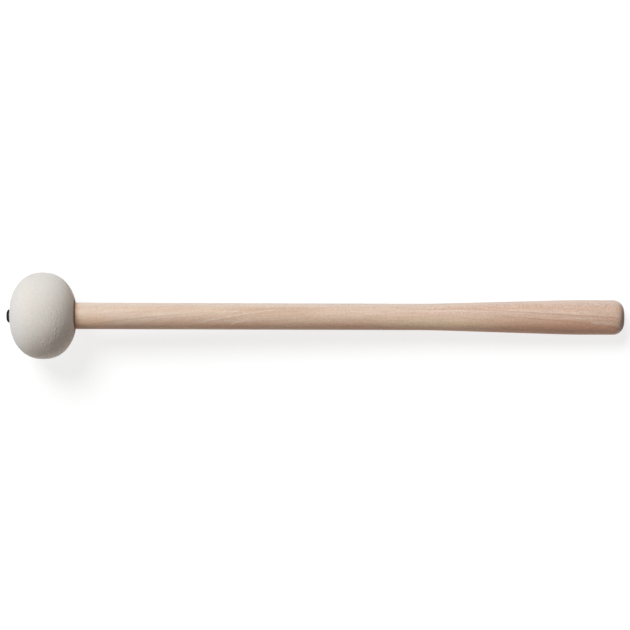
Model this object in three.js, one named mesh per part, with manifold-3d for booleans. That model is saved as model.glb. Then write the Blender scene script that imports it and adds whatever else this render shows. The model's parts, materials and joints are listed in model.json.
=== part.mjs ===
// A bass drum mallet: a turned maple handle, a hard felt head, and the screw that holds the head on.
//
// Millimetres, +Z up. The mallet lies as on a table, on the side of its head and the edge of its butt,
// with the head at -X. Every piece is round about one axis, so its outline is a list of points
// (radius, station), where a station is a distance along that axis. Stations of the mallet count from
// the front pole of the felt towards the butt.
import * as THREE from "three";
import { mergeVertices } from "three/addons/utils/BufferGeometryUtils.js";
import Module from "manifold-3d";

const wasm = await Module();
wasm.setup();

// The whole mallet
const overallLength = 375; // top of the screw head to the butt
const seatGap = 0.3; // glue or air between pieces that bear on each other
const cutOverrun = 1; // how far a cutting solid reaches past what it cuts

// Felt head
const headDiameter = 52.5;
const headLength = 40; // front pole to the flat at the back
const headCrownDepth = 20.5; // front pole to the widest ring
const headFrontPower = 2.2; // power of the outline's curve: 2 is an ellipse, more is squarer
const headBackPower = 2.25;
const socketRimWidth = 0.8; // flat felt round the mouth of the socket
const socketMouthChamfer = 0.3;
const headFrontWeb = 10; // felt pressed between the screw head and the end of the handle

// Handle
const neckDiameter = 16.1;
const gripDiameter = 21;
const gripLength = 23.9; // full thickness, butt included
const taperLength = 102;
const taperBlendShare = 0.17; // of the taper's length, eased in at each end
const buttFaceDiameter = 7.6; // flat left inside the rounded butt
const handleFrontChamfer = 0.8;

// Screw
const screwHeadDiameter = 8.2;
const screwHeadHeight = 2.7;
const screwHeadPower = 3;
const screwHeadProud = 1.64; // how far the head stands out of the felt
const screwLength = 32; // under the head
const screwPointLength = 5;
const threadDiameter = 4.2;
const threadRootDiameter = 2.9;
const threadPitch = 1.7;
const threadThickness = 1; // of the ridge, at its root
const threadStart = 2.5; // plain shank under the head
const threadFootShare = 0.8; // of the core's radius, how deep the ridge is rooted in the core
const threadClearance = 0.2; // between the thread and its groove in the wood
const recessSpan = 4.6; // cross recess, tip to tip
const recessWingWidth = 1.1;
const recessDepth = 1.9;
const recessFloorSpan = 2;

// Fineness of the round surfaces
const turnedSides = 36;
const screwSides = 16; // also the steps in a turn of the thread
const crownRings = 11;
const taperRings = 12;
const buttRings = 7;
const screwHeadRings = 5;
const threadRunInTurns = 0.75;

// Stations of the mallet, worked out from the front pole of the felt
const screwSeatStation = screwHeadHeight - screwHeadProud;
const dimpleFloorStation = screwSeatStation + seatGap;
const socketFloorStation = dimpleFloorStation + headFrontWeb;
const handleFrontStation = socketFloorStation + seatGap;
const buttStation = overallLength - screwHeadProud;
const handleLength = buttStation - handleFrontStation;

const point = (radius, station) => new THREE.Vector2(radius, station);

// A piece of the outline from the pole, on the axis, to the widest ring. Its curve is a superellipse,
// and it starts at the radius where a dimple or a flat ends it.
function crownCurve(widestRadius, depth, power, startRadius, rings) {
  const startAngle = Math.asin((startRadius / widestRadius) ** (power / 2));
  return Array.from({ length: rings + 1 }, (_, ring) => {
    const angle = THREE.MathUtils.lerp(startAngle, Math.PI / 2, ring / rings);
    const radius = widestRadius * Math.sin(angle) ** (2 / power);
    const alongShare = Math.max(Math.cos(angle), 0) ** (2 / power);
    return point(radius, depth * (1 - alongShare));
  });
}

// From 0 to 1, straight in the middle and eased with a parabola at both ends.
function easedRamp(share, blendShare) {
  const slope = 1 / (1 - blendShare);
  if (share < blendShare) return (slope * share ** 2) / (2 * blendShare);
  if (share > 1 - blendShare) return 1 - (slope * (1 - share) ** 2) / (2 * blendShare);
  return slope * (share - blendShare / 2);
}

// The outline turned about the axis. A flat side of the many-sided solid faces down, not an edge.
function turned(outline, sides) {
  return new THREE.LatheGeometry(outline, sides, Math.PI / sides);
}

function solidFrom(geometry) {
  const bare = geometry.clone();
  bare.deleteAttribute("normal");
  bare.deleteAttribute("uv");
  const merged = mergeVertices(bare);
  const mesh = new wasm.Mesh({
    numProp: 3,
    vertProperties: new Float32Array(merged.attributes.position.array),
    triVerts: new Uint32Array(merged.index.array),
  });
  return new wasm.Manifold(mesh);
}

function geometryFrom(solid) {
  const { vertProperties, triVerts } = solid.getMesh();
  const geometry = new THREE.BufferGeometry();
  geometry.setAttribute("position", new THREE.BufferAttribute(vertProperties, 3));
  geometry.setIndex(new THREE.BufferAttribute(triVerts, 1));
  geometry.computeVertexNormals();
  return geometry;
}

// Felt head, from its front pole: the crown, the back down to the flat, the socket for the handle,
// the hole for the screw and the dimple that the screw head sinks into.
function headOutline() {
  const widestRadius = headDiameter / 2;
  const socketRadius = neckDiameter / 2 + seatGap;
  const mouthRadius = socketRadius + socketMouthChamfer;
  const backFlatRadius = mouthRadius + socketRimWidth;
  const dimpleRadius = screwHeadDiameter / 2 + seatGap;
  const screwHoleRadius = threadDiameter / 2 + seatGap;

  const front = crownCurve(widestRadius, headCrownDepth, headFrontPower, dimpleRadius, crownRings);
  // The back's curve would close at a pole of its own behind the flat, so that depth comes first.
  const backLength = headLength - headCrownDepth;
  const flatShare = (1 - (backFlatRadius / widestRadius) ** headBackPower) ** (1 / headBackPower);
  const backDepth = backLength / flatShare;
  const back = crownCurve(widestRadius, backDepth, headBackPower, backFlatRadius, crownRings)
    .map((p) => point(p.x, headCrownDepth + backDepth - p.y))
    .reverse()
    .slice(1);
  const inside = [
    point(mouthRadius, headLength),
    point(socketRadius, headLength - socketMouthChamfer),
    point(socketRadius, socketFloorStation),
    point(screwHoleRadius, socketFloorStation),
    point(screwHoleRadius, dimpleFloorStation),
    point(dimpleRadius, dimpleFloorStation),
  ];
  return [...front, ...back, ...inside, front[0].clone()];
}

// Handle, from its front end inside the head: the neck, the taper, the grip and the rounded butt.
function handleOutline() {
  const neckRadius = neckDiameter / 2;
  const gripRadius = gripDiameter / 2;
  const buttCorner = gripRadius - buttFaceDiameter / 2;
  const taperStart = handleLength - gripLength - taperLength;

  const taper = Array.from({ length: taperRings + 1 }, (_, ring) => {
    const share = ring / taperRings;
    const radius = THREE.MathUtils.lerp(neckRadius, gripRadius, easedRamp(share, taperBlendShare));
    return point(radius, taperStart + taperLength * share);
  });
  const butt = Array.from({ length: buttRings + 1 }, (_, ring) => {
    const angle = (Math.PI / 2) * (ring / buttRings);
    const radius = gripRadius - buttCorner * (1 - Math.cos(angle));
    return point(radius, handleLength - buttCorner * (1 - Math.sin(angle)));
  });
  return [
    point(0, 0),
    point(neckRadius - handleFrontChamfer, 0),
    point(neckRadius, handleFrontChamfer),
    ...taper,
    ...butt,
    point(0, handleLength),
  ];
}

// Radius of the screw's core, and of the crest of its thread, at a station counted from the seat under
// the head. Both shrink to the point.
function screwTaperShare(station) {
  return Math.min(1, (screwLength - station) / screwPointLength);
}

function coreRadius(station) {
  return (threadRootDiameter / 2) * screwTaperShare(station);
}

function crestRadius(station) {
  const runInShare = Math.min(1, (station - threadStart) / (threadPitch * threadRunInTurns));
  const height = (threadDiameter - threadRootDiameter) / 2;
  return coreRadius(station) + height * runInShare * Math.sqrt(screwTaperShare(station));
}

// A closed tube through rings of points. Every ring has as many points, listed the same way round.
function tubeThrough(rings) {
  const sides = rings[0].length;
  const lastRing = (rings.length - 1) * sides;
  const indices = [];
  for (let ring = 0; ring < lastRing; ring += sides) {
    for (let side = 0; side < sides; side++) {
      const here = ring + side;
      const beside = ring + ((side + 1) % sides);
      indices.push(here, here + sides, beside, beside, here + sides, beside + sides);
    }
  }
  for (let side = 1; side < sides - 1; side++) {
    indices.push(0, side, side + 1, lastRing, lastRing + side + 1, lastRing + side);
  }
  const geometry = new THREE.BufferGeometry().setFromPoints(rings.flat());
  geometry.setIndex(indices);
  return geometry;
}

// The ridge of the thread, from a station near fromStation to just short of the point. Its section is a
// triangle of two feet and a crest. With a clearance it is the groove that it has cut in the wood.
function threadRidge(fromStation, clearance) {
  const stepLength = threadPitch / screwSides;
  const firstStep = Math.max(1, Math.floor((fromStation - threadStart) / stepLength));
  const lastStep = Math.floor((screwLength - threadPitch / 2 - threadStart) / stepLength);
  const halfFoot = threadThickness / 2 + clearance;
  const rings = [];
  for (let step = firstStep; step <= lastStep; step++) {
    const angle = (Math.PI * (2 * step + 1)) / screwSides;
    const station = threadStart + stepLength * step;
    const foot = coreRadius(station) * threadFootShare;
    const section = [
      point(foot, station - halfFoot),
      point(crestRadius(station) + clearance, station),
      point(foot, station + halfFoot),
    ];
    rings.push(section.map((p) => new THREE.Vector3(p.x * Math.sin(angle), p.y, p.x * Math.cos(angle))));
  }
  return tubeThrough(rings);
}

// What the screw takes out of the handle, counted from the screw's seat: its core and its thread,
// both with clearance.
function screwHole() {
  const frontEnd = handleFrontStation - screwSeatStation;
  const pointStart = screwLength - screwPointLength;
  const core = turned(
    [
      point(0, frontEnd - cutOverrun),
      point(coreRadius(frontEnd) + threadClearance, frontEnd - cutOverrun),
      point(coreRadius(pointStart) + threadClearance, pointStart),
      point(threadClearance, screwLength + threadClearance),
      point(0, screwLength + threadClearance),
    ],
    screwSides,
  );
  return solidFrom(core).add(solidFrom(threadRidge(frontEnd - cutOverrun, threadClearance)));
}

// A cross of four wings that narrows downwards.
function crossRecess() {
  const topStation = -screwHeadHeight;
  const reach = recessSpan / 2;
  const half = recessWingWidth / 2;
  const corners = [
    [half, half],
    [half, reach],
    [-half, reach],
    [-half, half],
    [-reach, half],
    [-reach, -half],
    [-half, -half],
    [-half, -reach],
    [half, -reach],
    [half, -half],
    [reach, -half],
    [reach, half],
  ].map(([across, up]) => point(across, up));
  const wings = new THREE.ExtrudeGeometry(new THREE.Shape(corners), {
    depth: recessDepth + cutOverrun * 2,
    bevelEnabled: false,
  });
  wings.rotateX(-Math.PI / 2);
  wings.translate(0, topStation - cutOverrun, 0);
  const narrowing = turned(
    [
      point(0, topStation - cutOverrun),
      point(reach, topStation - cutOverrun),
      point(reach, topStation),
      point(recessFloorSpan / 2, topStation + recessDepth),
      point(0, topStation + recessDepth),
    ],
    screwSides,
  );
  return solidFrom(wings).intersect(solidFrom(narrowing));
}

// Screw, from the seat under its head: a domed head with a cross recess, and a threaded shank.
function screwSolid() {
  const dome = crownCurve(screwHeadDiameter / 2, screwHeadHeight, screwHeadPower, 0, screwHeadRings);
  const blank = turned(
    [
      ...dome.map((p) => point(p.x, p.y - screwHeadHeight)),
      point(coreRadius(0), 0),
      point(coreRadius(0), screwLength - screwPointLength),
      point(0, screwLength),
    ],
    screwSides,
  );
  return solidFrom(blank).add(solidFrom(threadRidge(threadStart, 0))).subtract(crossRecess());
}

function handleSolid() {
  const hole = screwHole().translate([0, screwSeatStation - handleFrontStation, 0]);
  return solidFrom(turned(handleOutline(), turnedSides)).subtract(hole);
}

const maple = new THREE.MeshStandardMaterial({ color: 0xdcc2a8, roughness: 0.45, metalness: 0 });
const felt = new THREE.MeshStandardMaterial({ color: 0xded9d0, roughness: 0.95, metalness: 0 });
const blackOxide = new THREE.MeshStandardMaterial({ color: 0x26262a, roughness: 0.35, metalness: 0.6 });

// A piece at its station of the mallet, its own axis turned from +Y to +X.
function placed(name, geometry, material, station) {
  const mesh = new THREE.Mesh(geometry, material);
  mesh.name = name;
  mesh.rotation.z = -Math.PI / 2;
  mesh.position.x = station;
  return mesh;
}

// How far the mallet tips from level when it lies down: the slope of the line that touches the outlines
// of the head and of the handle behind it from below, both with a flat side down.
function restTilt() {
  const head = headOutline();
  const handle = handleOutline()
    .map((p) => point(p.x, p.y + handleFrontStation))
    .filter((p) => p.y > headLength);
  const slopes = head.map((h) => Math.min(...handle.map((p) => (h.x - p.x) / (p.y - h.y))));
  return Math.atan(Math.max(...slopes) * Math.cos(Math.PI / turnedSides));
}

const mallet = new THREE.Group();
mallet.add(
  placed("handle", geometryFrom(handleSolid()), maple, handleFrontStation),
  placed("felt_head", turned(headOutline(), turnedSides), felt, 0),
  placed("head_screw", geometryFrom(screwSolid()), blackOxide, screwSeatStation),
);
mallet.rotation.y = restTilt();

// The origin is on the table, under the middle of the mallet.
const bounds = new THREE.Box3().setFromObject(mallet, true);
const middle = bounds.getCenter(new THREE.Vector3());
mallet.position.set(-middle.x, -middle.y, -bounds.min.z);

const part = new THREE.Group();
part.add(mallet);

export default part;
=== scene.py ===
"""A bass drum mallet lying on a pale studio table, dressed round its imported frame.

Metres, +Z up. Every piece of the mallet is made in the mallet's own frame and then placed. That frame
starts at the front pole of the felt. X runs along the mallet towards the butt, Y is level and Z points
away from the table. A station is a distance along X.
"""

import json
import math

import bpy
import numpy as np
from mathutils import Matrix, Vector, noise


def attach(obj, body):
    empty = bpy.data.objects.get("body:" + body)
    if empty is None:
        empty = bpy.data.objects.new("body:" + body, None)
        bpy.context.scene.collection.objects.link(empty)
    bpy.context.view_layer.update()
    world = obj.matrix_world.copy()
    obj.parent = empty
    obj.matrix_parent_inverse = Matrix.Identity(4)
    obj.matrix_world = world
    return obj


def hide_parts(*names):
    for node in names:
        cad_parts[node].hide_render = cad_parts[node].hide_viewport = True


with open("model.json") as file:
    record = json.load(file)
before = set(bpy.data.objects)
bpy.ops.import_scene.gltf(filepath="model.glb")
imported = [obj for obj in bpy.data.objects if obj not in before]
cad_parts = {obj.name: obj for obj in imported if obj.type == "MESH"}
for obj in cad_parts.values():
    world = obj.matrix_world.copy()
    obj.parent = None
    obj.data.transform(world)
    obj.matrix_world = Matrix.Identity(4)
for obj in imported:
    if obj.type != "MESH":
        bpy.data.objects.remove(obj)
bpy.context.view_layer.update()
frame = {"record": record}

MM = 0.001

# The mallet's sizes, as in the frame
OVERALL_LENGTH = 375 * MM
SEAT_GAP = 0.3 * MM

HEAD_DIAMETER = 52.5 * MM
HEAD_LENGTH = 40 * MM
HEAD_CROWN_DEPTH = 20.5 * MM
HEAD_FRONT_POWER = 2.2
HEAD_BACK_POWER = 2.25
HEAD_FRONT_WEB = 10 * MM
SOCKET_RIM_WIDTH = 0.8 * MM
SOCKET_MOUTH_CHAMFER = 0.3 * MM

NECK_DIAMETER = 16.1 * MM
GRIP_DIAMETER = 21 * MM
GRIP_LENGTH = 23.9 * MM
TAPER_LENGTH = 102 * MM
TAPER_BLEND_SHARE = 0.17
BUTT_FACE_DIAMETER = 7.6 * MM
HANDLE_FRONT_CHAMFER = 0.8 * MM

SCREW_HEAD_DIAMETER = 8.2 * MM
SCREW_HEAD_HEIGHT = 2.7 * MM
SCREW_HEAD_POWER = 3
SCREW_HEAD_PROUD = 1.64 * MM
SCREW_LENGTH = 32 * MM
SCREW_POINT_LENGTH = 5 * MM
THREAD_DIAMETER = 4.2 * MM
THREAD_ROOT_DIAMETER = 2.9 * MM
THREAD_PITCH = 1.7 * MM
THREAD_THICKNESS = 1 * MM
THREAD_START = 2.5 * MM
THREAD_FOOT_SHARE = 0.8
THREAD_CLEARANCE = 0.2 * MM
THREAD_RUN_IN_TURNS = 0.75
RECESS_SPAN = 4.6 * MM
RECESS_WING_WIDTH = 1.1 * MM
RECESS_DEPTH = 1.9 * MM
RECESS_FLOOR_SPAN = 2 * MM

# Stations worked out from them
SCREW_SEAT = SCREW_HEAD_HEIGHT - SCREW_HEAD_PROUD
DIMPLE_FLOOR = SCREW_SEAT + SEAT_GAP
SOCKET_FLOOR = DIMPLE_FLOOR + HEAD_FRONT_WEB
HANDLE_FRONT = SOCKET_FLOOR + SEAT_GAP
BUTT = OVERALL_LENGTH - SCREW_HEAD_PROUD

# What the photograph shows and the frame leaves plain
SCREW_ASIDE = -0.2 * MM
HEAD_LEAN = 0.011  # the ball sits a little askew on the handle
FRONT_PRESSED = 0.22 * MM  # the felt is flatter round the screw
DIMPLE_LIP = 1.7 * MM
LIP_DEPTH = 1.75 * MM
FELT_GRIP_GAP = 0.08 * MM

# How fine the meshes are
DOME_RINGS = 24
SCREW_SIDES = 64
THREAD_STEPS_PER_TURN = 40
RECESS_SIDES = 48
HANDLE_SIDES = 128
TAPER_RINGS = 60
BUTT_RINGS = 20
FELT_STEP = 0.34 * MM
FELT_SIDES = 460
FELT_CROWN_RINGS = 240
DIMPLE_STEPS = 8
LIP_STEPS = 10
HARD_EDGE_DEG = 30
FELT_EDGE_DEG = 50
CUT_OVERRUN = 1 * MM
NEARLY_ZERO = 1e-9

# The photograph's view
PHOTO_SIDE_PX = 630
PHOTO_MM_PER_PX = 0.6075
PHOTO_FELT_POLE_PX = 9.2
PHOTO_AXIS_DROP_PX = 1.6  # how far the mallet's axis passes below the middle of the picture
PHOTO_ROLL_DEG = 0.18
CAMERA_DISTANCE = 1.94
SENSOR_MM = 36
CLIP_START, CLIP_END = 0.01, 50


def mallet_matrix():
    """The mallet's own frame in the row frame, from the mount on the butt's face."""
    mount = next(m for m in frame["record"]["mounts"] if m["name"] == "butt_face")
    along = Vector(mount["axis"]).normalized()
    level = Vector((0, 1, 0))
    up = along.cross(level)
    origin = Vector(mount["pos_m"]) - along * BUTT
    matrix = Matrix((along, level, up)).transposed().to_4x4()
    matrix.translation = origin
    return matrix


MALLET = mallet_matrix()


# Camera

def add_camera():
    """Looks square at the mallet's axis from above, as the photograph does."""
    pixel = PHOTO_MM_PER_PX * MM
    middle_station = (PHOTO_SIDE_PX / 2 - PHOTO_FELT_POLE_PX) * pixel
    data = bpy.data.cameras.new("camera")
    data.sensor_width = SENSOR_MM
    data.lens = SENSOR_MM * CAMERA_DISTANCE / (PHOTO_SIDE_PX * pixel)
    data.clip_start, data.clip_end = CLIP_START, CLIP_END
    camera = bpy.data.objects.new("camera", data)
    bpy.context.scene.collection.objects.link(camera)
    place = Matrix.Translation((middle_station, PHOTO_AXIS_DROP_PX * pixel, CAMERA_DISTANCE))
    roll = Matrix.Rotation(math.radians(PHOTO_ROLL_DEG), 4, "Z")
    camera.matrix_world = MALLET @ place @ roll
    bpy.context.scene.camera = camera


add_camera()


# Shapes turned about the mallet's axis

def crown_curve(widest, depth, power, start_radius, rings):
    """(station, radius) from near the pole to the widest ring of a superellipse of revolution."""
    start = math.asin((start_radius / widest) ** (power / 2))
    points = []
    for ring in range(rings + 1):
        angle = start + (math.pi / 2 - start) * ring / rings
        radius = widest * math.sin(angle) ** (2 / power)
        along = depth * (1 - max(math.cos(angle), 0) ** (2 / power))
        points.append((along, radius))
    return points


def eased_ramp(share, blend):
    """From 0 to 1, straight in the middle and eased with a parabola at both ends."""
    slope = 1 / (1 - blend)
    if share < blend:
        return slope * share**2 / (2 * blend)
    if share > 1 - blend:
        return 1 - slope * (1 - share) ** 2 / (2 * blend)
    return slope * (share - blend / 2)


def respaced(outline, step):
    """The same line with its points evenly spaced, about a step apart."""
    points = np.array(outline)
    travelled = np.concatenate([[0], np.cumsum(np.linalg.norm(np.diff(points, axis=0), axis=1))])
    places = np.linspace(0, travelled[-1], math.ceil(travelled[-1] / step) + 1)
    return [tuple(p) for p in np.stack([np.interp(places, travelled, points[:, k]) for k in (0, 1)], axis=1)]


def new_piece(name, vertices, faces):
    mesh = bpy.data.meshes.new(name)
    mesh.from_pydata(vertices, [], faces)
    mesh.validate()
    piece = bpy.data.objects.new(name, mesh)
    bpy.context.scene.collection.objects.link(piece)
    return piece


def turned(name, outline, sides):
    """A closed solid of revolution about X. The outline, (station, radius), ends on the axis or is a loop."""
    loop = math.dist(outline[0], outline[-1]) < NEARLY_ZERO
    stations = outline[:-1] if loop else outline
    vertices, rings = [], []
    for station, radius in stations:
        if radius < NEARLY_ZERO:
            rings.append([len(vertices)])
            vertices.append((station, 0, 0))
            continue
        rings.append(list(range(len(vertices), len(vertices) + sides)))
        for side in range(sides):
            angle = 2 * math.pi * side / sides
            vertices.append((station, radius * math.cos(angle), radius * math.sin(angle)))
    ends = rings[1:] + rings[:1] if loop else rings[1:]
    faces = [face for here, there in zip(rings, ends) for face in faces_between(here, there, sides)]
    return facing_out(new_piece(name, vertices, faces))


def faces_between(here, there, sides):
    """The faces from one ring of vertices to the next. A ring of one vertex is a point on the axis."""
    for side in range(sides):
        beside = (side + 1) % sides
        corners = [here[side % len(here)], here[beside % len(here)]]
        corners += [there[beside % len(there)], there[side % len(there)]]
        face = list(dict.fromkeys(corners))
        if len(face) > 2:
            yield face


def facing_out(piece):
    """Turns the faces round if the closed mesh is inside out."""
    mesh = piece.data
    mesh.calc_loop_triangles()
    corners = np.array([v.co for v in mesh.vertices])[np.array([t.vertices for t in mesh.loop_triangles])]
    volume = np.einsum("ij,ij->i", corners[:, 0], np.cross(corners[:, 1], corners[:, 2])).sum()
    if volume < 0:
        mesh.flip_normals()
    return piece


def cut(piece, other, operation="DIFFERENCE"):
    """The piece after a boolean with another, which is used up."""
    modifier = piece.modifiers.new("cut", "BOOLEAN")
    modifier.object, modifier.operation, modifier.solver = other, operation, "MANIFOLD"
    depsgraph = bpy.context.evaluated_depsgraph_get()
    made = bpy.data.meshes.new_from_object(piece.evaluated_get(depsgraph))
    piece.modifiers.clear()
    piece.data = made
    bpy.data.objects.remove(other)
    return piece


def smooth(piece, sharp_over_deg):
    """Smooth shading, with edges kept sharp where the faces meet at more than that angle."""
    piece.data.shade_smooth()
    piece.data.set_sharp_from_angle(angle=math.radians(sharp_over_deg))
    return piece


# Screw

def screw_taper_share(station):
    return min(1, (SCREW_LENGTH - station) / SCREW_POINT_LENGTH)


def core_radius(station):
    return THREAD_ROOT_DIAMETER / 2 * screw_taper_share(station)


def crest_radius(station):
    run_in = min(1, (station - THREAD_START) / (THREAD_PITCH * THREAD_RUN_IN_TURNS))
    height = (THREAD_DIAMETER - THREAD_ROOT_DIAMETER) / 2
    return core_radius(station) + height * run_in * math.sqrt(screw_taper_share(station))


def thread_ridge(name, clearance):
    """The thread's ridge, with its stations counted from the screw's seat."""
    step_length = THREAD_PITCH / THREAD_STEPS_PER_TURN
    steps = int((SCREW_LENGTH - THREAD_PITCH / 2 - THREAD_START) / step_length)
    half_foot = THREAD_THICKNESS / 2 + clearance
    vertices, faces = [], []
    for step in range(1, steps + 1):
        angle = 2 * math.pi * step / THREAD_STEPS_PER_TURN
        station = THREAD_START + step_length * step
        foot = core_radius(station) * THREAD_FOOT_SHARE
        section = [
            (station - half_foot, foot),
            (station, crest_radius(station) + clearance),
            (station + half_foot, foot),
        ]
        vertices += [(s, r * math.cos(angle), r * math.sin(angle)) for s, r in section]
    for here in range(0, len(vertices) - 3, 3):
        for side in range(3):
            beside = (side + 1) % 3
            faces.append((here + side, here + beside, here + 3 + beside, here + 3 + side))
    last = len(vertices) - 3
    faces += [(2, 1, 0), (last, last + 1, last + 2)]
    return facing_out(new_piece(name, vertices, faces))


def moved(piece, station, aside):
    piece.data.transform(Matrix.Translation((station, aside, 0)))
    return piece


def cross_recess():
    """A cross of four wings that narrows towards the point of the screw."""
    top = -SCREW_HEAD_HEIGHT
    reach, half = RECESS_SPAN / 2, RECESS_WING_WIDTH / 2
    corners = [(half, half), (half, reach), (-half, reach), (-half, half), (-reach, half), (-reach, -half)]
    corners += [(-y, -z) for y, z in corners]
    count = len(corners)
    vertices = [(s, y, z) for s in (top - CUT_OVERRUN, top + RECESS_DEPTH + CUT_OVERRUN) for y, z in corners]
    faces = [tuple(range(count)), tuple(range(2 * count - 1, count - 1, -1))]
    faces += [(k, count + k, count + (k + 1) % count, (k + 1) % count) for k in range(count)]
    wings = facing_out(new_piece("wings", vertices, faces))
    narrowing = [
        (top - CUT_OVERRUN, 0),
        (top - CUT_OVERRUN, reach),
        (top, reach),
        (top + RECESS_DEPTH, RECESS_FLOOR_SPAN / 2),
        (top + RECESS_DEPTH, 0),
    ]
    return cut(wings, turned("narrowing", narrowing, RECESS_SIDES), "INTERSECT")


def make_screw():
    dome = crown_curve(SCREW_HEAD_DIAMETER / 2, SCREW_HEAD_HEIGHT, SCREW_HEAD_POWER, 0, DOME_RINGS)
    outline = [(s - SCREW_HEAD_HEIGHT, r) for s, r in dome]
    outline += [(0, core_radius(0)), (SCREW_LENGTH - SCREW_POINT_LENGTH, core_radius(0)), (SCREW_LENGTH, 0)]
    screw = turned("screw", outline, SCREW_SIDES)
    cut(screw, thread_ridge("ridge", 0), "UNION")
    cut(screw, cross_recess())
    return smooth(moved(screw, SCREW_SEAT, SCREW_ASIDE), HARD_EDGE_DEG)


# Handle

def handle_outline():
    neck, grip = NECK_DIAMETER / 2, GRIP_DIAMETER / 2
    corner = grip - BUTT_FACE_DIAMETER / 2
    taper_start = BUTT - GRIP_LENGTH - TAPER_LENGTH
    outline = [
        (HANDLE_FRONT, 0),
        (HANDLE_FRONT, neck - HANDLE_FRONT_CHAMFER),
        (HANDLE_FRONT + HANDLE_FRONT_CHAMFER, neck),
    ]
    for ring in range(TAPER_RINGS + 1):
        share = ring / TAPER_RINGS
        radius = neck + (grip - neck) * eased_ramp(share, TAPER_BLEND_SHARE)
        outline.append((taper_start + TAPER_LENGTH * share, radius))
    for ring in range(BUTT_RINGS + 1):
        angle = math.pi / 2 * ring / BUTT_RINGS
        outline.append((BUTT - corner * (1 - math.sin(angle)), grip - corner * (1 - math.cos(angle))))
    outline.append((BUTT, 0))
    return outline


def screw_hole():
    """What the screw has cut out of the handle, with clearance."""
    front = HANDLE_FRONT - SCREW_SEAT
    point_start = SCREW_LENGTH - SCREW_POINT_LENGTH
    outline = [
        (front - CUT_OVERRUN, 0),
        (front - CUT_OVERRUN, core_radius(front) + THREAD_CLEARANCE),
        (point_start, core_radius(point_start) + THREAD_CLEARANCE),
        (SCREW_LENGTH + THREAD_CLEARANCE, THREAD_CLEARANCE),
        (SCREW_LENGTH + THREAD_CLEARANCE, 0),
    ]
    hole = turned("hole", outline, SCREW_SIDES)
    return moved(cut(hole, thread_ridge("groove", THREAD_CLEARANCE), "UNION"), SCREW_SEAT, SCREW_ASIDE)


def make_handle():
    handle = turned("maple_handle", handle_outline(), HANDLE_SIDES)
    return smooth(cut(handle, screw_hole()), HARD_EDGE_DEG)


# Felt head

FELT_WIDEST = HEAD_DIAMETER / 2
SOCKET_RADIUS = NECK_DIAMETER / 2 + SEAT_GAP
DIMPLE_RADIUS = SCREW_HEAD_DIAMETER / 2 + SEAT_GAP
SCREW_HOLE_RADIUS = THREAD_DIAMETER / 2 + SEAT_GAP
LIP_END = (HEAD_LENGTH - LIP_DEPTH, NECK_DIAMETER / 2 + FELT_GRIP_GAP)

# Relief of the pressed fibres, as (size, height) of each kind of unevenness
SWELLS = (9 * MM, 0.05 * MM)
CLUMPS = (1.5 * MM, 0.06 * MM)
TUFTS = (0.8 * MM, 0.15 * MM)
COARSER_FROM, COARSER_OVER = 0.6, 0.5  # in head lengths, towards the handle and -Y
COARSER_BY = 0.42
FADE_RINGS = 6  # the relief and the lean fade out over these rings at the dimple and at the lip


def front_line():
    """From the dimple's wall over its lip to the felt's widest ring."""
    crown = crown_curve(
        FELT_WIDEST, HEAD_CROWN_DEPTH, HEAD_FRONT_POWER, DIMPLE_RADIUS + DIMPLE_LIP, FELT_CROWN_RINGS
    )
    crown = [(s + FRONT_PRESSED * (1 - r / FELT_WIDEST), r) for s, r in crown]
    end = (crown[0][0] + DIMPLE_LIP, DIMPLE_RADIUS)
    return [quarter_turn(crown[0], end, step / DIMPLE_STEPS) for step in range(DIMPLE_STEPS, 0, -1)] + crown


def back_line():
    """From the felt's widest ring over the lip at the handle and into the socket."""
    flat = SOCKET_RADIUS + SOCKET_MOUTH_CHAMFER + SOCKET_RIM_WIDTH
    flat_share = (1 - (flat / FELT_WIDEST) ** HEAD_BACK_POWER) ** (1 / HEAD_BACK_POWER)
    depth = (HEAD_LENGTH - HEAD_CROWN_DEPTH) / flat_share
    crown = crown_curve(FELT_WIDEST, depth, HEAD_BACK_POWER, flat, FELT_CROWN_RINGS)
    crown = [(HEAD_CROWN_DEPTH + depth - s, r) for s, r in reversed(crown)][1:]
    return crown + [quarter_turn(crown[-1], LIP_END, step / LIP_STEPS) for step in range(1, LIP_STEPS + 1)]


def inner_line():
    """From the lip along the socket and the screw's hole to the dimple's wall."""
    return [
        LIP_END,
        (HEAD_LENGTH - 2 * LIP_DEPTH, SOCKET_RADIUS),
        (SOCKET_FLOOR, SOCKET_RADIUS),
        (SOCKET_FLOOR, SCREW_HOLE_RADIUS),
        (DIMPLE_FLOOR, SCREW_HOLE_RADIUS),
        (DIMPLE_FLOOR, DIMPLE_RADIUS),
    ]


def quarter_turn(start, end, share):
    """A point on the quarter ellipse that leaves start inwards and reaches end along the mallet."""
    angle = math.pi / 2 * share
    station = start[0] - (start[0] - end[0]) * (1 - math.cos(angle))
    radius = start[1] - (start[1] - end[1]) * math.sin(angle)
    return station, radius


def felt_relief(point):
    """How far the pressed fibres stand above or below the felt's smooth form."""
    swell, clump, tuft = [noise.noise(point / size) * height for size, height in (SWELLS, CLUMPS, TUFTS)]
    coarser = min(1, max(0, (point.x - point.y) / HEAD_LENGTH - COARSER_FROM) / COARSER_OVER)
    return swell + (clump + tuft) * (1 + COARSER_BY * coarser)


def make_felt_head():
    outer = respaced(front_line() + back_line(), FELT_STEP)
    head = turned("felt_ball", outer + inner_line()[1:], FELT_SIDES)
    mesh = head.data
    normals = [v.normal.copy() for v in mesh.vertices]
    for index in range(len(outer) * FELT_SIDES):
        ring = index // FELT_SIDES
        fade = min(1, ring / FADE_RINGS, (len(outer) - 1 - ring) / FADE_RINGS)
        vertex = mesh.vertices[index]
        vertex.co += normals[index] * (felt_relief(vertex.co) * fade)
        vertex.co.y -= HEAD_LEAN * (vertex.co.x - HEAD_CROWN_DEPTH) * fade
    return smooth(head, FELT_EDGE_DEG)


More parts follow.
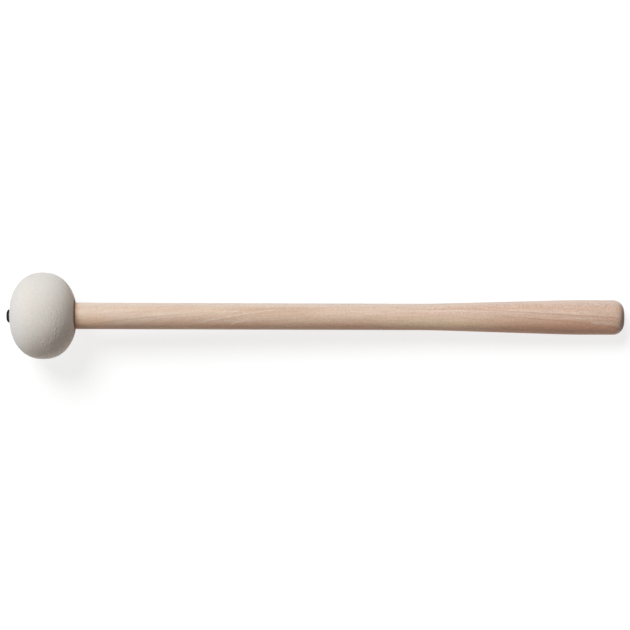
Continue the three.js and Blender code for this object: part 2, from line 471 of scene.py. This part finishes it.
# Colours and shader nodes

def linear(red, green, blue):
    """A colour written as it looks, 0 to 255, in the shader's linear light."""
    values = [c / 255 for c in (red, green, blue)]
    return (*[v / 12.92 if v <= 0.04045 else ((v + 0.055) / 1.055) ** 2.4 for v in values], 1)


NOISE_LOW, NOISE_HIGH = 0.3, 0.7


class Graph:
    """Short calls for a material's shader nodes. A value is a number, a colour or another node's output."""

    def __init__(self, name):
        self.material = bpy.data.materials.new(name)
        self.material.use_nodes = True
        self.nodes = self.material.node_tree.nodes
        self.links = self.material.node_tree.links
        self.shader = self.nodes["Principled BSDF"]
        coordinates = self.nodes.new("ShaderNodeTexCoord")
        self.object, self.normal = coordinates.outputs["Object"], coordinates.outputs["Normal"]

    def put(self, socket, value):
        if isinstance(value, bpy.types.NodeSocket):
            self.links.new(value, socket)
        elif value is not None:
            socket.default_value = value

    def math(self, operation, a, b=None, c=None):
        node = self.nodes.new("ShaderNodeMath")
        node.operation = operation
        for socket, value in zip(node.inputs, (a, b, c)):
            self.put(socket, value)
        return node.outputs[0]

    def ramp(self, value, low, high, to_low=0, to_high=1):
        """Value from low to high becomes to_low to to_high, eased at both ends."""
        node = self.nodes.new("ShaderNodeMapRange")
        node.interpolation_type = "SMOOTHSTEP"
        given = {"Value": value, "From Min": low, "From Max": high, "To Min": to_low, "To Max": to_high}
        for key, number in given.items():
            self.put(node.inputs[key], number)
        return node.outputs[0]

    def spread(self, pattern, low, high):
        """Spreads a noise, which mostly lies between two middling values, from low to high."""
        return self.ramp(pattern, NOISE_LOW, NOISE_HIGH, low, high)

    def product(self, *factors):
        result = factors[0]
        for factor in factors[1:]:
            result = self.math("MULTIPLY", result, factor)
        return result

    def mix(self, factor, a, b, blend="MIX"):
        node = self.nodes.new("ShaderNodeMix")
        node.data_type, node.blend_type = "RGBA", blend
        self.put(node.inputs[0], factor)
        self.put(node.inputs[6], a)
        self.put(node.inputs[7], b)
        return node.outputs[2]

    def stretched(self, vector, size, turn=(0, 0, 0)):
        """Coordinates in which a pattern of unit size has the given size along each axis."""
        turned_by = self.nodes.new("ShaderNodeMapping")
        self.put(turned_by.inputs["Vector"], vector)
        turned_by.inputs["Rotation"].default_value = [math.radians(a) for a in turn]
        scaled = self.nodes.new("ShaderNodeMapping")
        self.links.new(turned_by.outputs[0], scaled.inputs["Vector"])
        scaled.inputs["Scale"].default_value = [1 / s for s in size]
        return scaled.outputs[0]

    def noise(self, vector, detail=2, roughness=0.5):
        node = self.nodes.new("ShaderNodeTexNoise")
        self.put(node.inputs["Vector"], vector)
        node.inputs["Scale"].default_value = 1
        node.inputs["Detail"].default_value = detail
        node.inputs["Roughness"].default_value = roughness
        return node.outputs["Fac"]

    def parts(self, vector):
        node = self.nodes.new("ShaderNodeSeparateXYZ")
        self.put(node.inputs[0], vector)
        return node.outputs

    def vector(self, x, y, z):
        node = self.nodes.new("ShaderNodeCombineXYZ")
        for socket, value in zip(node.inputs, (x, y, z)):
            self.put(socket, value)
        return node.outputs[0]

    def bump(self, height, distance, strength):
        node = self.nodes.new("ShaderNodeBump")
        self.put(node.inputs["Height"], height)
        node.inputs["Distance"].default_value = distance
        node.inputs["Strength"].default_value = strength
        return node.outputs[0]

    def finish(self, **sockets):
        for key, value in sockets.items():
            self.put(self.shader.inputs[key.replace("_", " ")], value)
        return self.material


class Spot:
    """A point on a piece of the mallet."""

    def along(self, low, high, to_low=0, to_high=1):
        """A ramp along the mallet between two stations, given in millimetres."""
        return self.g.ramp(self.station, low * MM, high * MM, to_low, to_high)


# Maple

# The wood is a solid pattern. Its growth layers are stacked along the tree's radius and its rays run along
# that radius. A layer's place is its distance from the mallet's axis along the radius.
RADIUS_TURN_DEG = 40
ARCH_STATION = 215 * MM  # the layers bow along the mallet, and this is the top of the bow
ARCH_RADIUS = 1.4
MAPLE_PALE = linear(234, 212, 192)
MAPLE_PINK = linear(225, 195, 174)
MAPLE_BUTT = linear(216, 185, 164)
MAPLE_TAN = linear(223, 194, 170)
MAPLE_DEEP = linear(209, 175, 148)
MAPLE_TOP_TONE_AND_SHEEN = linear(226, 213, 204)
MAPLE_SAP = linear(244, 204, 168)
MAPLE_HEART_NECK = linear(213, 163, 127)
MAPLE_HEART_GRIP = linear(211, 167, 140)
# painted shade for the wood's lower side
MAPLE_UNDER_SHADE = linear(216, 162, 136)
MAPLE_PAINTED_SHADE = linear(172, 130, 108)
MAPLE_MAUVE = linear(196, 160, 146)
MAPLE_CREAM = linear(238, 222, 206)
MAPLE_OLIVE = linear(233, 205, 173)
MAPLE_LINE = linear(182, 132, 110)
MAPLE_FLECK = linear(208, 148, 104)
MAPLE_BLUSH = linear(233, 208, 194)
END_GRAIN_AND_SHADE = linear(126, 88, 72)
END_RING = linear(104, 70, 56)
END_PAINTED_SHADE = linear(66, 46, 40)
RING_SPACING = 1.9 * MM
# glue soaked into the wood, with painted shade where the felt meets it
GLUE_STAIN_AND_SHADE = linear(136, 64, 28)
GLUE_FRINGE_AND_SHADE = linear(218, 130, 52)
PORE_DEPTH = 0.03 * MM
PORE_STRENGTH = 0.35
MAPLE_ROUGHNESS = (0.45, 0.55)
MAPLE_SPECULAR = 0.25
GLUE_AND_SHADE_ZONES = [  # where each starts and is full, in millimetres behind the felt, its strength and its tint
    (5.0, 0.0, 0.14, GLUE_FRINGE_AND_SHADE),
    (1.2, -0.2, 0.8, GLUE_FRINGE_AND_SHADE),
    (0.3, -0.6, 0.9, GLUE_STAIN_AND_SHADE),
]


class Streak:
    """A band in the wood from one (station, place) to another, in millimetres. It may bow aside."""

    def __init__(self, start, end, above, below, tint, strength, ends=0.2, bow=0, broken=0, dotted=False):
        self.start, self.end = [v * MM for v in start], [v * MM for v in end]
        self.above, self.below, self.ends, self.bow = above * MM, below * MM, ends, bow * MM
        self.tint, self.strength, self.broken, self.dotted = tint, strength, broken, dotted

    def paint(self, g, wood, colour):
        length = self.end[0] - self.start[0]
        share = g.math("DIVIDE", g.math("SUBTRACT", wood.station, self.start[0]), length)
        line = g.math("MULTIPLY_ADD", share, self.end[1] - self.start[1], self.start[1])
        if self.bow:
            arc = g.math("MULTIPLY", share, g.math("SUBTRACT", 1, share))
            line = g.math("MULTIPLY_ADD", arc, 4 * self.bow, line)
        off = g.math("SUBTRACT", wood.mark_place, line)
        across = g.product(g.ramp(off, -self.below, 0), g.ramp(off, self.above, 0))
        ends = g.product(g.ramp(share, 0, self.ends), g.ramp(share, 1, 1 - self.ends))
        factor = g.product(across, ends, self.strength)
        if self.broken:
            factor = g.product(factor, g.ramp(wood.patch, 0.42, 0.58, 1 - self.broken, 1))
        if self.dotted:
            factor = g.product(factor, g.ramp(wood.ray, 0.46, 0.6))
        return g.mix(factor, colour, self.tint)


STREAKS = [
    Streak((60, -1.5), (235, -1.0), 6.0, 6.5, MAPLE_TAN, 0.6, ends=0.35),
    Streak((118, -3.0), (205, -3.0), 8.0, 6.5, MAPLE_DEEP, 0.55, ends=0.4),
    # paler and greyer over the top: the wood's tone, with painted sheen
    Streak((36, 4.0), (380, 4.0), 8.0, 6.4, MAPLE_TOP_TONE_AND_SHEEN, 0.67, ends=0.02),
    Streak((238, 4.0), (390, 4.0), 8.0, 5.0, MAPLE_BUTT, 0.24, ends=0.12),
    Streak((34, -7.6), (66, -7.2), 3.5, 3.5, MAPLE_SAP, 0.5, ends=0.4),
    # painted shade along the grip's lower edge
    Streak((250, -10.2), (376, -10.8), 2.5, 2.0, MAPLE_PAINTED_SHADE, 0.3, ends=0.3),
    Streak((200, -6.6), (320, -8.6), 3.2, 2.4, MAPLE_OLIVE, 0.8, ends=0.5),
    Streak((46, -8.3), (132, -2.3), 0.7, 4.5, MAPLE_MAUVE, 0.1),
    Streak((46, -8.3), (132, -2.3), 0.35, 0.4, MAPLE_LINE, 0.26),
    Streak((42, -5.0), (95, -2.2), 0.35, 0.35, MAPLE_LINE, 0.18),
    Streak((126, -6.8), (160, -2.4), 0.3, 1.3, MAPLE_MAUVE, 0.16),
    # painted shade on the underside near the neck
    Streak((126, -7.6), (162, -7.6), 0.8, 1.2, MAPLE_UNDER_SHADE, 0.3, ends=0.3),
    # painted shade on the underside at the butt
    Streak((335, -9.9), (384, -10.1), 0.9, 1.2, MAPLE_UNDER_SHADE, 0.35, ends=0.3),
    Streak((112, -7.9), (168, -0.6), 0.5, 0.4, MAPLE_CREAM, 0.75, broken=0.4),
    Streak((134, -7.9), (147, -6.0), 0.4, 0.4, MAPLE_CREAM, 0.7, broken=0.6),
    Streak((126, -2.9), (142, -2.3), 0.5, 0.5, MAPLE_CREAM, 0.7, broken=0.6),
    Streak((225, -2.2), (338, -2.9), 1.6, 1.5, MAPLE_BLUSH, 0.45, ends=0.3),
    Streak((228, -1.9), (296, -1.6), 0.6, 0.6, MAPLE_CREAM, 0.6, broken=0.4),
    Streak((236, 0.4), (272, 0.6), 0.4, 0.4, MAPLE_CREAM, 0.6, broken=0.4),
    Streak((228, -0.6), (300, -0.4), 0.7, 0.7, MAPLE_FLECK, 0.35, dotted=True),
    Streak((226, -3.3), (292, -3.0), 0.4, 0.4, MAPLE_FLECK, 0.55, dotted=True),
    Streak((234, -6.7), (284, -7.0), 0.4, 0.4, MAPLE_CREAM, 0.45, broken=0.8),
    Streak((268, -0.2), (376, -7.3), 0.6, 3.0, MAPLE_MAUVE, 0.22, bow=-0.6),
    Streak((268, -0.2), (380, -7.5), 0.35, 0.45, MAPLE_LINE, 0.45, bow=-0.6),
    Streak((284, -4.2), (372, -10.2), 0.35, 0.5, MAPLE_LINE, 0.35, bow=-0.55),
    Streak((318, -3.0), (362, -5.2), 1.2, 1.0, MAPLE_CREAM, 0.35, ends=0.3, broken=0.7),
    Streak((330, -6.6), (366, -8.0), 0.9, 0.9, MAPLE_CREAM, 0.35, ends=0.3, broken=0.7),
    Streak((350, -8.9), (378, -9.3), 1.0, 1.0, MAPLE_CREAM, 0.5, ends=0.3, broken=0.5),
]


class Wood(Spot):
    """Where a point of the handle lies in the wood, and the patterns of the wood there."""

    def __init__(self, g):
        self.g = g
        in_tree = g.stretched(g.object, (1, 1, 1), (RADIUS_TURN_DEG, 0, 0))
        self.station, self.radius, self.tangent = g.parts(in_tree)
        tree = g.vector(self.station, self.radius, self.tangent)
        wander = g.math("SUBTRACT", g.noise(g.stretched(tree, (55 * MM, 9 * MM, 9 * MM))), 0.5)
        self.place = g.math("MULTIPLY_ADD", wander, 3 * MM, self.radius)
        self.mark_place = g.math("MULTIPLY_ADD", wander, 0.8 * MM, self.radius)
        off_arch = g.math("SUBTRACT", self.station, ARCH_STATION)
        bow = g.math("MULTIPLY", off_arch, off_arch)
        self.layer = g.math("MULTIPLY_ADD", bow, 0.5 / ARCH_RADIUS, self.place)
        self.grain = g.vector(self.station, self.layer, self.tangent)

        self.band = self.pattern(90, 2.2, 10)
        self.streak = self.pattern(14, 0.55, 0.7)
        self.fibre = self.pattern(5, 0.14, 0.14, roughness=0.6)
        self.mottle = self.pattern(1.1, 0.6, 0.6, roughness=0.6)
        self.tone = self.pattern(1.3, 0.5, 0.5, roughness=0.6)
        self.dash = self.pattern(2.6, 0.42, 0.5)
        self.ray = self.pattern(0.7, 1.2, 0.4, detail=1)
        self.ray_patch = self.pattern(8, 3, 3, detail=1)
        self.patch = self.pattern(4, 2, 2, detail=1)

    def pattern(self, lengthwise, across_layers, along_layers, detail=2, roughness=0.5):
        """Noise that follows the grain, with its size in millimetres."""
        size = [s * MM for s in (lengthwise, across_layers, along_layers)]
        return self.g.noise(self.g.stretched(self.grain, size), detail, roughness)


def plain_maple(g, wood):
    """Pale and pinker bands, browner towards the butt, with darker heartwood at one side."""
    colour = g.mix(g.ramp(wood.band, 0.35, 0.68), MAPLE_PALE, MAPLE_PINK)
    colour = g.mix(wood.along(30, 130, 0.6, 0), colour, MAPLE_PALE)
    colour = g.mix(wood.along(160, 365, 0, 0.95), colour, MAPLE_BUTT)
    in_heart = g.ramp(wood.place, -5 * MM, -10.5 * MM)
    in_heart = g.product(in_heart, wood.along(44, 80, 0.6, 0.95))
    heart = g.mix(wood.along(150, 330), MAPLE_HEART_NECK, MAPLE_HEART_GRIP)
    return g.mix(in_heart, colour, heart)


def streaked(g, wood, colour):
    for streak in STREAKS:
        colour = streak.paint(g, wood, colour)
    return colour


def painted_shade_below(g, wood, colour):
    """Painted shade: darker and browner where the wood turns down towards the table, and more so by the head.
    """
    by_grip = g.product(wood.along(200, 240), wood.along(350, 300))
    # painted shade on the underside at the grip
    colour = g.mix(g.product(by_grip, g.ramp(wood.tangent, 1 * MM, -3 * MM, 0, 0.5)), colour, MAPLE_UNDER_SHADE)
    # painted shade by the head
    by_head = wood.along(105, 70)
    by_head = g.product(by_head, g.ramp(wood.tangent, 2.5 * MM, -2 * MM, 0, 0.3))
    colour = g.mix(by_head, colour, MAPLE_PAINTED_SHADE)
    # painted shade along the lower edge
    return g.mix(g.ramp(wood.tangent, -1.2 * MM, -4.5 * MM, 0, 0.5), colour, MAPLE_PAINTED_SHADE)


def flecked(g, wood, colour):
    """Rays that lie in the wood's surface show as flecks. Their zone is wider at the grip, and they are
    fewer in the middle of the handle.
    """
    top = wood.along(255, 310, 1.0 * MM, 2.4 * MM)
    below_top = g.ramp(g.math("SUBTRACT", wood.radius, top), 1.2 * MM, 0)
    quartered = g.product(g.ramp(wood.radius, -1.9 * MM, -0.9 * MM), below_top)
    middle = g.product(wood.along(105, 130), wood.along(240, 215))
    fleck = g.product(
        g.ramp(wood.ray, 0.52, 0.66),
        g.ramp(wood.ray_patch, 0.26, 0.46),
        g.ramp(middle, 0, 1, 0.85, 0.2),
        wood.along(225, 315, 0.45, 1),
        wood.along(270, 360, 1, 0.5),
        quartered,
    )
    return g.mix(fleck, colour, MAPLE_FLECK)


def shaded(g, wood, colour):
    """Fine grain that makes the wood lighter and darker, warmer and cooler."""
    calm = wood.along(200, 260)
    calm = g.product(calm, g.ramp(wood.radius, 1.2 * MM, 3.2 * MM, 0, 0.5))
    lively = g.product(wood.along(60, 150, 0.85, 1.5), g.math("SUBTRACT", 1, calm))
    figure = g.math("ADD", g.spread(wood.streak, -0.045, 0.035), g.spread(wood.mottle, -0.065, 0.055))
    shade = g.math("MULTIPLY_ADD", figure, lively, g.spread(wood.fibre, 0.945, 1.045))
    at_butt = wood.along(325, 350)
    dashes = g.product(g.ramp(wood.dash, 0.35, 0.65, -0.055, 0.055), at_butt)
    shade = g.math("ADD", shade, g.math("ADD", dashes, wood.along(340, 368, 0, -0.045)))
    warmth = g.math("ADD", g.spread(wood.tone, -0.05, 0.05), g.math("MULTIPLY", dashes, -0.8))
    warm_shade = g.math("MULTIPLY_ADD", warmth, 0.35, shade)
    cool_shade = g.math("SUBTRACT", shade, warmth)
    return g.mix(1, colour, g.vector(warm_shade, shade, cool_shade), "MULTIPLY")


def with_end_grain_and_shade(g, wood, colour):
    """The butt's end is darker, as end grain and as painted shade, with more painted shade towards -Y, and
    shows the growth rings.
    """
    facing_butt = g.parts(g.normal)[0]
    # darker on the end: end grain, partly painted shade
    colour = g.mix(g.ramp(facing_butt, 0.4, 1.05, 0, 0.85), colour, END_GRAIN_AND_SHADE)
    # painted shade, strongest towards -Y
    painted_end_shade = g.product(g.ramp(facing_butt, 0.45, 0.85, 0, 0.45), g.ramp(wood.radius, 2 * MM, -5 * MM))
    colour = g.mix(painted_end_shade, colour, END_PAINTED_SHADE)
    ring = g.math("FRACT", g.math("DIVIDE", wood.layer, RING_SPACING))
    ring_line = g.product(g.ramp(ring, 0.72, 0.95), g.ramp(ring, 1, 0.95))
    return g.mix(g.product(ring_line, g.ramp(facing_butt, 0.5, 0.95, 0, 0.5)), colour, END_RING)


def glued_and_shaded(g, wood, colour):
    """Glue has soaked into the wood at the felt's back, with painted shade where the felt meets it."""
    # glue, with painted shade at the joint
    for start, full, strength, tint in GLUE_AND_SHADE_ZONES:
        zone = g.ramp(wood.station, HEAD_LENGTH + start * MM, HEAD_LENGTH + full * MM, 0, strength)
        colour = g.mix(zone, colour, tint)
    return colour


def maple_material():
    g = Graph("satin_maple")
    wood = Wood(g)
    colour = plain_maple(g, wood)
    for paint in (streaked, painted_shade_below, flecked, shaded, with_end_grain_and_shade, glued_and_shaded):
        colour = paint(g, wood, colour)
    pores = g.bump(wood.fibre, PORE_DEPTH, PORE_STRENGTH)
    roughness = g.spread(wood.fibre, *MAPLE_ROUGHNESS)
    return g.finish(Base_Color=colour, Roughness=roughness, Normal=pores, Specular_IOR_Level=MAPLE_SPECULAR)


# Felt

FELT_IVORY = linear(231, 230, 226)
FELT_CREAM = linear(234, 227, 217)
FELT_DEEP = linear(210, 202, 193)
FELT_HAIR = linear(236, 233, 228)
FELT_FRONT_COOL_LIGHT = linear(226, 226, 225)
# painted shade for the felt's back and next to the handle
FELT_BACK_SHADE = linear(223, 215, 206)
FELT_HANDLE_SHADE = linear(197, 182, 171)
# painted shade for the felt's -Y side
FELT_SIDE_SHADE = linear(213, 195, 182)
FELT_GLUE_AND_SHADE = linear(104, 76, 60)
PILE_HEIGHT = 0.3 * MM
PILE_STRENGTH = 0.6
PILE_CLUMPS, PILE_HAIRS = 0.6, 0.4  # the share of each in the pile's height
FELT_ROUGHNESS = 0.95
FELT_SPECULAR = 0.15
FELT_SHEEN, FELT_SHEEN_ROUGHNESS = 0.15, 0.5
HAIR_SIZE = (2.6 * MM, 0.11 * MM, 0.11 * MM)
HAIR_TURNS_DEG = ((10, 25, 0), (70, -30, 40), (-35, 80, 65), (20, 60, 120))


class Ball(Spot):
    """Where a point of the felt lies, and the patterns of the felt there."""

    def __init__(self, g):
        self.g = g
        self.station, self.level, self.up = g.parts(g.object)
        squares = g.math("MULTIPLY_ADD", self.level, self.level, g.math("MULTIPLY", self.up, self.up))
        self.radius = g.math("SQRT", squares)
        self.behind = g.ramp(self.station, 0.55 * HEAD_LENGTH, HEAD_LENGTH)
        self.clump = self.pattern(0.9, detail=3, roughness=0.6)
        self.stain = self.pattern(14)
        self.tone = self.pattern(0.8, roughness=0.6)
        self.hairs = self.crossed_hairs()

    def pattern(self, size, detail=2, roughness=0.5):
        """Noise with its size in millimetres."""
        return self.g.noise(self.g.stretched(self.g.object, (size * MM,) * 3), detail, roughness)

    def crossed_hairs(self):
        """Fine hairs that lie four ways."""
        hairs = None
        for turn in HAIR_TURNS_DEG:
            strand = self.g.noise(self.g.stretched(self.g.object, HAIR_SIZE, turn))
            hairs = strand if hairs is None else self.g.math("MAXIMUM", hairs, strand)
        return hairs


def plain_felt(g, ball):
    """Ivory that turns to cream behind the front and towards -Y, with darker clumps and pale hairs. The front
    is cooler, which is painted cool light.
    """
    yellowed = g.product(
        g.ramp(ball.level, 27 * MM, 6 * MM),
        ball.along(2, 15),
        g.ramp(ball.stain, 0.35, 0.65, 0.75, 1),
    )
    colour = g.mix(yellowed, FELT_IVORY, FELT_CREAM)
    coarse = g.ramp(g.math("SUBTRACT", ball.station, ball.level), 10 * MM, 48 * MM, 0.24, 0.5)
    colour = g.mix(g.ramp(ball.clump, 0.6, 0.4, 0, coarse), colour, FELT_DEEP)
    colour = g.mix(g.ramp(ball.hairs, 0.6, 0.75, 0, 0.25), colour, FELT_HAIR)
    # painted cool light: the front is cooler
    return g.mix(ball.along(12, 0, 0, 0.8), colour, FELT_FRONT_COOL_LIGHT)


def painted_shade_at_back(g, ball, colour):
    """Painted shade: browner at the back, more towards -Y, and darker still next to the handle."""
    # painted warm shade at the back
    at_back = g.product(ball.behind, g.ramp(ball.level, 14 * MM, -4 * MM, 0.3, 1))
    colour = g.mix(at_back, colour, FELT_BACK_SHADE)
    # painted shade next to the handle
    near_handle = g.product(g.ramp(ball.radius, 23 * MM, 12 * MM, 0, 0.45), ball.behind)
    return g.mix(near_handle, colour, FELT_HANDLE_SHADE)


def painted_shade_on_minus_y(g, ball, colour):
    """Painted shade on the -Y side, weaker at and below the axis, with a further patch of it nearer to the
    handle.
    """
    # painted shade on the -Y side
    side = g.product(
        g.ramp(ball.level, -8 * MM, -24 * MM, 0, 0.42),
        ball.along(8, 20),
        g.ramp(ball.up, 0, 10 * MM, 0.2, 1),
    )
    # a further patch of painted shade
    shade_patch = g.product(
        g.ramp(ball.level, -3 * MM, -11 * MM),
        g.ramp(ball.level, -22 * MM, -14 * MM),
        ball.along(16, 28, 0, 0.3),
    )
    return g.mix(g.math("ADD", side, shade_patch), colour, FELT_SIDE_SHADE)


def toned(g, ball, colour):
    """A little warmer and cooler from clump to clump."""
    warmth = g.spread(ball.tone, -0.018, 0.018)
    tint = g.vector(g.math("ADD", 1, warmth), 1, g.math("SUBTRACT", 1, warmth))
    return g.mix(1, colour, tint, "MULTIPLY")


def glued_and_shaded_lip(g, ball, colour):
    """Darker and browner in the lip round the handle: painted shade in the crevice, with glue soaked in, and
    more of it on the +Y side.
    """
    # painted shade in the crevice round the handle, with glue
    in_lip = g.product(
        g.ramp(ball.radius, 11.6 * MM, 9.6 * MM, 0, 0.9),
        g.ramp(ball.behind, 0.9, 1),
        g.ramp(ball.level, -8 * MM, 0, 0.35, 1),
    )
    return g.mix(in_lip, colour, FELT_GLUE_AND_SHADE)


def felt_material():
    g = Graph("pressed_felt")
    ball = Ball(g)
    colour = plain_felt(g, ball)
    for paint in (painted_shade_at_back, painted_shade_on_minus_y, toned, glued_and_shaded_lip):
        colour = paint(g, ball, colour)
    height = g.math("ADD", g.product(ball.clump, PILE_CLUMPS), g.product(ball.hairs, PILE_HAIRS))
    pile = g.bump(height, PILE_HEIGHT, PILE_STRENGTH)
    g.finish(Base_Color=colour, Roughness=FELT_ROUGHNESS, Normal=pile, Specular_IOR_Level=FELT_SPECULAR)
    return g.finish(Sheen_Weight=FELT_SHEEN, Sheen_Roughness=FELT_SHEEN_ROUGHNESS)


# Black oxide

OXIDE_DARK = linear(36, 32, 34)
OXIDE_PALE = linear(50, 45, 47)
OXIDE_EDGE = (0.2, 0.2, 0.2, 1)  # what a grazing look sees
OXIDE_CLOUD_SIZE = 0.5 * MM
OXIDE_SKIN_DEPTH = 0.01 * MM
OXIDE_SKIN_STRENGTH = 0.2
OXIDE_ROUGHNESS = (0.07, 0.13)


def screw_material():
    g = Graph("black_oxide")
    cloud = g.noise(g.stretched(g.object, (OXIDE_CLOUD_SIZE,) * 3), detail=3)
    colour = g.mix(g.ramp(cloud, 0.35, 0.65), OXIDE_DARK, OXIDE_PALE)
    skin = g.bump(cloud, OXIDE_SKIN_DEPTH, OXIDE_SKIN_STRENGTH)
    roughness = g.spread(cloud, *OXIDE_ROUGHNESS)
    g.finish(Base_Color=colour, Roughness=roughness, Normal=skin)
    return g.finish(Metallic=1, Specular_Tint=OXIDE_EDGE)


def dress(piece, material, node):
    """Puts a finished piece on the mallet in place of a node of the frame."""
    piece.data.materials.clear()
    piece.data.materials.append(material)
    piece.matrix_world = MALLET
    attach(piece, "root")
    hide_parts(node)


dress(make_handle(), maple_material(), "handle")
felt_ball = make_felt_head()
dress(felt_ball, felt_material(), "felt_head")
dress(make_screw(), screw_material(), "head_screw")


# Table and light

FLOOR_HALF = 6
FLOOR_COLOUR = (0.83, 0.78, 0.745, 1)
FLOOR_SEEN_LIFT = 0.78  # the floor's own white, where it is seen
FLOOR_SEEN_SHADOW = 0.30  # how much of the light on it shows there, and with it the mallet's shadow
LAMPS = {  # azimuth, elevation and spread in degrees, then the level
    "key": (121, 53, 30, 0.90),
    "fill": (218, 25, 40, 0.195),
    "rim": (14, 12, 30, 0.09),
    "table_glow": (306, -54, 12, 0.28),
}


def add_floor():
    """A floor under the mallet's lowest point. It throws no shadow, so the glow from below passes it."""
    pieces = [o for o in bpy.context.scene.objects if o.type == "MESH" and not o.hide_render]
    low = min((o.matrix_world @ v.co).z for o in pieces for v in o.data.vertices)
    signs = [(-1, -1), (1, -1), (1, 1), (-1, 1)]
    floor = new_piece("floor", [(x * FLOOR_HALF, y * FLOOR_HALF, low) for x, y in signs], [(0, 1, 2, 3)])
    floor.data.materials.append(floor_material())
    floor.visible_shadow = False


def floor_material():
    """Pale where light falls on it. Where it is seen, its own white is added to a dimmer surface, so that
    it looks white and still shows the mallet's shadow.
    """
    material = bpy.data.materials.new("floor_white")
    material.use_nodes = True
    nodes, links = material.node_tree.nodes, material.node_tree.links
    nodes.clear()
    plain = nodes.new("ShaderNodeBsdfDiffuse")
    plain.inputs["Color"].default_value = FLOOR_COLOUR
    dim = nodes.new("ShaderNodeBsdfDiffuse")
    dim.inputs["Color"].default_value = (FLOOR_SEEN_SHADOW,) * 3 + (1,)
    glow = nodes.new("ShaderNodeEmission")
    glow.inputs["Strength"].default_value = FLOOR_SEEN_LIFT
    seen = nodes.new("ShaderNodeAddShader")
    both = nodes.new("ShaderNodeMixShader")
    out = nodes.new("ShaderNodeOutputMaterial")
    links.new(dim.outputs[0], seen.inputs[0])
    links.new(glow.outputs[0], seen.inputs[1])
    links.new(seeing_ray(nodes, links), both.inputs[0])
    links.new(plain.outputs[0], both.inputs[1])
    links.new(seen.outputs[0], both.inputs[2])
    links.new(both.outputs[0], out.inputs[0])
    return material


def seeing_ray(nodes, links):
    """1 for rays that show a surface, directly, as a reflection or through glass, and 0 for its light."""
    path = nodes.new("ShaderNodeLightPath")
    found = None
    for ray in ("Is Camera Ray", "Is Glossy Ray", "Is Transmission Ray"):
        either = nodes.new("ShaderNodeMath")
        either.operation = "MAXIMUM"
        either.inputs[1].default_value = 0
        links.new(path.outputs[ray], either.inputs[0])
        if found:
            links.new(found, either.inputs[1])
        found = either.outputs[0]
    return found


def add_lamps():
    """A broad key up behind the mallet, a fill in front of it and a weak rim at the butt's end. The glow is
    what a lit white table throws up at the mallet, also where its shadow falls. A lamp from below doesn't
    show in a gloss, because the floor's white shows there.
    """
    for name, (azimuth, elevation, spread, level) in LAMPS.items():
        turn, lift = math.radians(azimuth), math.radians(elevation)
        direction = Vector((math.cos(turn) * math.cos(lift), math.sin(turn) * math.cos(lift), math.sin(lift)))
        data = bpy.data.lights.new(name, "SUN")
        data.angle, data.energy = math.radians(spread), math.pi * level
        lamp = bpy.data.objects.new(name, data)
        lamp.rotation_mode = "QUATERNION"
        lamp.rotation_quaternion = direction.to_track_quat("Z", "Y")
        lamp.visible_glossy = elevation > 0
        bpy.context.scene.collection.objects.link(lamp)


def add_world():
    """White where it is seen, directly or as a reflection, and dark as a light."""
    world = bpy.data.worlds.new("studio")
    bpy.context.scene.world = world
    world.use_nodes = True
    nodes, links = world.node_tree.nodes, world.node_tree.links
    background = nodes["Background"]
    background.inputs["Color"].default_value = (1, 1, 1, 1)
    links.new(seeing_ray(nodes, links), background.inputs["Strength"])


add_floor()
add_lamps()
add_world()
bpy.context.scene.view_settings.view_transform = "Standard"
